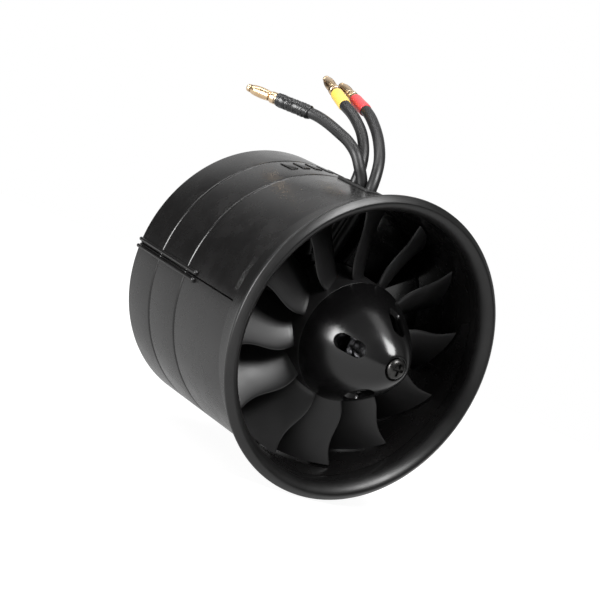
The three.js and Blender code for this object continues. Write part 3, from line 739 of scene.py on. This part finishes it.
def sheet_body(point, spans, chords):
    """A closed blade or vane from point(u, v, w)."""
    loops = []
    for u in spans:
        top = [point(u, v, 1) for v in chords]
        bottom = [point(u, v, 0) for v in reversed(chords[1:-1])]
        loops.append(top + bottom)
    return loft(loops)


def hub_profile():
    """The hub's outer wall, its web and the boss round the adapter."""
    return rounded([
        (18.15, 7.5), (19.0, 25.0), (17.4, 25.0), (17.1, 14.2), (7.0, 14.2), (7.0, 20.0),
        (3.6, 20.0), (3.6, 9.0), (7.0, 9.0), (7.0, 12.4), (17.0, 12.4), (17.0, 7.5),
    ], [0.1, 0.4, 0.3, 0.8, 0.8, 0.4, 0.2, 0.2, 0.4, 0.8, 0.8, 0.2], 4)


def make_impeller():
    chords = spaced(22)
    spans = [0, 0.02, 0.04, 0.055, 0.07, 0.085, 0.1, 0.12, 0.15] + [0.2 + 0.8 * i / 22 for i in range(23)]
    bodies = [turned(hub_profile(), MEDIUM)]
    for i in range(BLADES):
        first = TAU * i / BLADES
        bodies.append(sheet_body(lambda u, v, w: blade_point(u, v, w, first), spans, chords))
    make_piece("impeller_moulded", bodies, "rotor", "rotor_nylon", ["impeller"], 36)


make_impeller()


# ---------------------------------------------------------------- spinner
SPINNER_R = 18.2
SPINNER_BASE_Y = 7.2
SPINNER_LENGTH = 24.5
SPINNER_RIM_Y = -15.6
SPINNER_RIM_R = 3.9
SPINNER_WALL = 1.5
CAVITY_Y = -10.6          # where the hollow of the spinner ends, behind its tip
HEAD_SEAT_Y = -14.9
HEAD_SEAT_R = 3.4
HEAD_Y = -17.0            # top of the screw's head
SCREW_HOLE_R = 1.75
WINDOWS = 4
WINDOW_ANGLE = 85
WINDOW_Y = -6.6
WINDOW_HALF = 2.0         # half of the straight part of a window, along Y
WINDOW_END_R = 2.4


def spinner_radius(y):
    return SPINNER_R * (1 - max((SPINNER_BASE_Y - y) / SPINNER_LENGTH, 0) ** 1.15) ** 0.6


def spinner_profile():
    outer, inner = [], []
    for i in range(49):
        y = mix(SPINNER_BASE_Y, SPINNER_RIM_Y + 0.4, (i / 48) ** 0.85)
        outer.append((max(spinner_radius(y), SPINNER_RIM_R + 0.3), y))
        if y > CAVITY_Y and i:
            inner.append((spinner_radius(y) - SPINNER_WALL, y))
    front = rounded([
        outer[-1], (SPINNER_RIM_R, SPINNER_RIM_Y), (HEAD_SEAT_R, SPINNER_RIM_Y), (HEAD_SEAT_R, HEAD_SEAT_Y),
        (SCREW_HOLE_R, HEAD_SEAT_Y), (SCREW_HOLE_R, -11.4), (4.6, -11.4),
    ], [0, 0.25, 0.2, 0.1, 0.1, 0.2, 0], 3, closed=False)
    base = [(15.4, SPINNER_BASE_Y), (15.4, 9.6), (16.6, 9.6), (16.7, SPINNER_BASE_Y)]
    return outer[:-1] + front + list(reversed(inner)) + base


def window_cutter(angle):
    """A slot with round ends, cut radially through the wall of the spinner."""
    steps = 14
    outline = []
    for end, quarter in ((WINDOW_HALF, -0.5), (-WINDOW_HALF, 0.5)):
        for k in range(steps + 1):
            a = math.pi * (k / steps + quarter)
            outline.append((end + WINDOW_END_R * math.cos(a), WINDOW_END_R * math.sin(a)))
    loops = [[(radius, WINDOW_Y + u, v) for u, v in outline] for radius in (6.5, 26.5)]
    return placed(loft(loops), about_axis(angle))


def make_spinner():
    spinner = make_piece(
        "spinner_moulded", [turned(spinner_profile(), MEDIUM)], "rotor", "rotor_nylon", ["spinner"],
        finish="gloss_nylon")
    carve(spinner, [window_cutter(math.radians(WINDOW_ANGLE + 360 / WINDOWS * i)) for i in range(WINDOWS)])


def make_spinner_screw():
    """Pan head screw with a cross recess. The two arms are cut one after the other, as they overlap."""
    head = rounded([
        (0, HEAD_Y), (1.6, -16.95), (2.6, -16.55), (3.0, -15.9), (3.0, HEAD_SEAT_Y - GAP),
        (1.2, HEAD_SEAT_Y - GAP), (1.2, -1.5), (0, -1.5),
    ], [0, 0.4, 0.4, 0.25, 0.1, 0.1, 0.2, 0], 3, closed=False)
    screw = make_piece(
        "spinner_screw_head", [turned(head, SMALL)], "rotor", "black_steel", ["spinner_screw"], 40)
    long, narrow, deep = (-1.9, 1.9), (-0.42, 0.42), (HEAD_Y - 1, HEAD_Y + 0.9)
    carve(screw, [brick(long, deep, narrow)], 40)
    carve(screw, [brick(narrow, deep, long)], 40)


make_spinner()
make_spinner_screw()


# ---------------------------------------------------------------- stator and tail cone
VANES = 9
VANE_R = (18.7, 40.4)
VANE_Y = (31.5, 58.5)
VANE_ANGLE = 74
VANE_TURN = 6.0           # sideways run of a vane from front to rear
VANE_THICKNESS = 2.0
SCREW_CIRCLE_R = 12.5
SCREW_ANGLES = [math.radians(angle) for angle in (45, 135, 225, 315)]
TAIL_SCREW_ANGLES = [math.radians(angle) for angle in (30, 150, 270)]
TAIL_SCREW_Y = 62.2


def vane_point(u, v, w, first_angle):
    """Point of a stator vane, with the arguments of blade_point. Both ends have a fillet."""
    radius = mix(*VANE_R, u)
    turn = VANE_TURN * (1 - (1 - v) ** 2)
    fillet = 1 + 0.8 * math.exp(-max(radius - 19.4, 0) / 0.8) + 0.8 * math.exp(-max(39.9 - radius, 0) / 0.8)
    body = 0.25 + 0.75 * math.sin(math.pi * v ** 0.7)
    thickness = VANE_THICKNESS * body * (w - 0.5) * edge_round(v) * fillet
    return ring_point(radius, first_angle + (turn + thickness) / radius, mix(*VANE_Y, v))


def pin_hole(radius, inner, outer, y, angle):
    """Cutter for a radial hole, from one distance from the axis to another."""
    profile = [(0, inner), (radius, inner), (radius, outer), (0, outer)]
    return placed(turned(profile, 24), about_axis(angle) @ along((0, y, 0), (1, 0, 0)))


def make_stator():
    chords = spaced(16)
    spans = [0, 0.03, 0.05, 0.07, 0.09, 0.12, 0.16, 0.25, 0.4, 0.55, 0.7, 0.82, 0.88, 0.92, 0.95, 0.975, 1.0]
    hub = rounded([
        (19.3, 26.4), (19.3, 64.0), (17.9, 64.0), (17.9, 28.2), (8.6, 28.2), (8.6, 26.4),
    ], [0.5, 0.2, 0.2, 0.4, 0.2, 0.2], 4)
    outer_ring = rounded([(40.0, 31.0), (40.7, 31.0), (40.7, 60.0), (40.0, 60.0)], 0.1, 2)
    stator = make_piece(
        "stator_moulded", [turned(hub, MEDIUM)], "housing", "black_nylon", ["stator"], 36)
    cutters = [pin_hole(1.1, 16, 21, TAIL_SCREW_Y, angle) for angle in TAIL_SCREW_ANGLES]
    cutters.append(brick((-3.6, 1.2), (29.2, 42.8), (12, 21)))      # where the leads pass the hub
    for angle in SCREW_ANGLES:
        hole = turned([(0, 20), (1.5, 20), (1.5, 40), (0, 40)], 24)
        cutters.append(placed(hole, about_axis(angle) @ Matrix.Translation((SCREW_CIRCLE_R, 0, 0))))
    carve(stator, cutters, 36)
    bodies = [turned(outer_ring, LARGE)]
    for i in range(VANES):
        first = math.radians(VANE_ANGLE) + TAU * i / VANES
        bodies.append(sheet_body(lambda u, v, w: vane_point(u, v, w, first), spans, chords))
    vanes = make_piece("stator_vanes", bodies, "housing", "black_nylon", (), 36)
    carve(vanes, [lead_slot(DUCT_R - 6, DUCT_R + 6)], 36)


def make_tail_cone():
    outer = spline([(19.3, 64.3), (18.2, 70.0), (15.8, 76.0), (12.6, 81.0), (9.0, 84.6)], 8)
    inner = spline([(7.4, 84.0), (11.4, 80.2), (14.4, 75.4), (16.6, 69.6), (17.0, 65.4)], 8)
    back = rounded([
        inner[-1], (15.6, 65.0), (15.6, 61.9), (17.6, 61.0), (17.6, 64.3), outer[0],
    ], [0, 0.2, 0.2, 0.3, 0.1, 0], 3, closed=False)
    profile = outer + [(8.6, 84.75), (7.9, 84.7)] + inner[:-1] + back[:-1]
    cone = make_piece("tail_cone_moulded", [turned(profile, MEDIUM)], "housing", "black_nylon", ["tail_cone"])
    carve(cone, [pin_hole(1.1, 14, 22, TAIL_SCREW_Y, angle) for angle in TAIL_SCREW_ANGLES])


def make_tail_screws():
    profile = rounded([
        (0, 15.4), (0.8, 15.4), (0.8, 19.6), (1.9, 19.6), (1.75, 20.2), (1.1, 20.55), (0, 20.6),
    ], [0, 0.1, 0.1, 0.15, 0.3, 0.3, 0], 3, closed=False)
    for i, angle in enumerate(TAIL_SCREW_ANGLES, 1):
        place = about_axis(angle) @ along((0, TAIL_SCREW_Y, 0), (1, 0, 0))
        screw = make_piece(
            f"tail_screw_{i}_head", [placed(turned(profile + [(0, 15.4)], SMALL), place)], "housing",
            "black_steel", [f"tail_screw_{i}"], 40)
        carve(screw, [placed(brick((-1.0, 1.0), (20.0, 22.0), (-0.24, 0.24)), place)], 40)
        carve(screw, [placed(brick((-0.24, 0.24), (20.0, 22.0), (-1.0, 1.0)), place)], 40)


make_stator()
make_tail_cone()
make_tail_screws()


# ---------------------------------------------------------------- grommet
def make_grommet():
    """Rubber edge round the lead slot. It bends with the duct it sits on."""
    x, y = SLOT_AT
    half_width, half_length = SLOT_SIZE[0] / 2, SLOT_SIZE[1] / 2
    sections = [
        (2.7, 6.6, 1.9, 40.4), (half_width - GAP, half_length - GAP, 0.8, 40.4),
        (half_width - GAP, half_length - GAP, 0.8, 41.9), (half_width + 0.4, half_length + 0.4, 1.2, 41.92),
        (half_width + 0.4, half_length + 0.4, 1.2, 42.2), (half_width + 0.3, half_length + 0.3, 1.1, 42.38),
        (half_width + 0.1, half_length + 0.1, 1.0, 42.44), (3.1, 7.0, 2.1, 42.44),
        (2.8, 6.7, 2.0, 42.34), (2.7, 6.6, 1.9, 42.1),
    ]
    loops = []
    for u_half, v_half, corner, z in sections:
        loop = bar_loop(u_half, v_half, corner)
        loops.append([(x + u, y + v, z - (x + u) ** 2 / (2 * DUCT_R)) for u, v in loop])
    make_piece("wire_grommet_rubber", [loft(loops, closed_along=True)], "housing", "grommet_rubber",
               ["wire_grommet"], 50)


make_grommet()


# ---------------------------------------------------------------- rotor adapter and nut
def make_adapter():
    profile = rounded([
        (0, 1.2), (2.8, 1.2), (2.8, 24.4), (7.5, 24.4), (7.5, 20.3), (3.3, 20.3), (3.3, 8.6), (3.0, 8.2),
        (3.0, -7.4), (2.6, -7.8), (1.5, -7.8), (1.5, -0.6), (0, -0.6),
    ], [0, 0, 0, 0.3, 0.3, 0.3, 0.1, 0.1, 0.15, 0.15, 0.15, 0.1, 0], 3, closed=False)
    make_piece("rotor_adapter_turned", [turned(profile, SMALL)], "rotor", "aluminium", ["rotor_adapter"], 40)
    washer = rounded([(3.6, 7.4), (6.2, 7.4), (6.2, 8.7), (3.6, 8.7)], 0.2, 3)
    make_piece("adapter_washer_turned", [turned(washer, MEDIUM)], "rotor", "bright_steel", ["adapter_washer"])


def make_nut():
    """Hexagon nut with both faces chamfered round and a plain bore."""
    corner, around = 10 / math.sqrt(3), 96
    loops = []
    for reach, y in ((0, 2.0), (5.05, 2.0), (5.8, 2.42), (5.8, 6.68), (5.05, 7.1), (0, 7.1)):
        loop = []
        for k in range(around):
            angle = TAU * k / around
            flat = 5.0 / math.cos((angle + math.pi / 6) % (math.pi / 3) - math.pi / 6)
            radius = 3.35 if reach == 0 else min(flat, reach, corner)
            loop.append(ring_point(radius, angle, y))
        loops.append(loop)
    make_piece(
        "adapter_nut_hex", [loft(loops, closed_along=True)], "rotor", "bright_steel", ["adapter_nut"], 24)


make_adapter()
make_nut()


# ---------------------------------------------------------------- carried-over pieces
for entry in frame["record"]["subparts"]:
    node = frame["nodes"][entry["node"]]
    if not node.hide_render:
        node.data.materials.clear()
        node.data.materials.append(MATERIALS[entry["material_slot"]])


# ---------------------------------------------------------------- floor, light and world
FLOOR_R = 0.42
FLOOR_TONE = (0.20, 0.20, 0.20)
FLOOR_GLOW = 0.50         # seen by the fan
FLOOR_WHITE = 0.90        # seen by the camera
LIT_POINT = Vector((0, 0.03, 0))
LIGHT_DISTANCE = 0.8


def make_floor():
    """A round sheet of white paper under the fan."""
    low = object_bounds()[0].z - 0.0004
    steps = 96
    verts = [(LIT_POINT.x + FLOOR_R * math.cos(TAU * i / steps),
              LIT_POINT.y + FLOOR_R * math.sin(TAU * i / steps), low) for i in range(steps)]
    mesh = bpy.data.meshes.new("floor")
    mesh.from_pydata(verts, [], [list(range(steps))])
    finish = Finish("floor_paper", FLOOR_TONE, 0.85)
    path = finish.nodes.new("ShaderNodeLightPath")
    glow = finish.remap(path.outputs["Is Camera Ray"], FLOOR_GLOW, FLOOR_WHITE, 0, 1)
    finish.set(Emission_Color=(1, 1, 1, 1))
    finish.links.new(glow, finish.shader.inputs["Emission Strength"])
    mesh.materials.append(finish.material)
    add_object("floor", mesh)


def make_light(name, right, up, back, width, height, power):
    """A soft box that faces the fan. Its direction is in the camera's own right, up and back."""
    direction = Vector(CAMERA_RIGHT) * right + Vector(CAMERA_UP) * up + Vector(CAMERA_BACK) * back
    direction.normalize()
    data = bpy.data.lights.new(name, "AREA")
    data.shape = "RECTANGLE"
    data.size = width
    data.size_y = height
    data.energy = power
    light = add_object(name, data)
    across = Vector(CAMERA_RIGHT)
    across = (across - direction * across.dot(direction)).normalized()
    turn = Matrix((across, direction.cross(across), direction)).transposed()
    light.matrix_world = Matrix.Translation(LIT_POINT + direction * LIGHT_DISTANCE) @ turn.to_4x4()


WORLD_BASE = 0.07
WORLD_LOBES = [
    # direction, cosine where the glow starts, strength added
    ((0.39, 0.81, 0.44), 0.74, 0.75),
    ((-0.55, -0.45, 0.70), 0.30, 0.17),
    ((0.02, -0.14, 0.99), 0.955, 1.5),
    ((0.52, -0.49, 0.70), 0.87, 0.3),
    ((0.80, 0.45, -0.20), 0.60, 0.30),
]


def make_world():
    """White behind the fan for the camera. What lights the fan is a dark room with glowing patches."""
    world = bpy.data.worlds.new("studio")
    bpy.context.scene.world = world
    world.use_nodes = True
    nodes, links = world.node_tree.nodes, world.node_tree.links
    direction = nodes.new("ShaderNodeTexCoord").outputs["Generated"]
    total = None
    for toward, edge, power in WORLD_LOBES:
        dot = nodes.new("ShaderNodeVectorMath")
        dot.operation = "DOT_PRODUCT"
        dot.inputs[1].default_value = Vector(toward).normalized()
        links.new(direction, dot.inputs[0])
        glow = nodes.new("ShaderNodeMapRange")
        glow.interpolation_type = "SMOOTHSTEP"
        glow.inputs["From Min"].default_value = edge
        glow.inputs["From Max"].default_value = 1.0
        glow.inputs["To Min"].default_value = 0 if total else WORLD_BASE
        glow.inputs["To Max"].default_value = power if total else WORLD_BASE + power
        links.new(dot.outputs["Value"], glow.inputs["Value"])
        if total:
            add = nodes.new("ShaderNodeMath")
            links.new(total, add.inputs[0])
            links.new(glow.outputs["Result"], add.inputs[1])
            total = add.outputs["Value"]
        else:
            total = glow.outputs["Result"]
    path = nodes.new("ShaderNodeLightPath")
    strength = nodes.new("ShaderNodeMix")
    links.new(path.outputs["Is Camera Ray"], strength.inputs["Factor"])
    links.new(total, strength.inputs["A"])
    strength.inputs["B"].default_value = 1.0
    links.new(strength.outputs["Result"], nodes["Background"].inputs["Strength"])
    nodes["Background"].inputs["Color"].default_value = (1, 1, 1, 1)


make_floor()
make_light("box_left", -0.70, 0.34, 0.62, 0.34, 0.38, 9.5)
make_light("box_right", 0.60, 0.57, 0.56, 0.33, 0.38, 7.5)
make_light("strip_top", -0.12, 0.99, -0.02, 1.0, 0.12, 3.4)
make_world()
view = bpy.context.scene.view_settings
view.view_transform = "Standard"
view.look = "None"
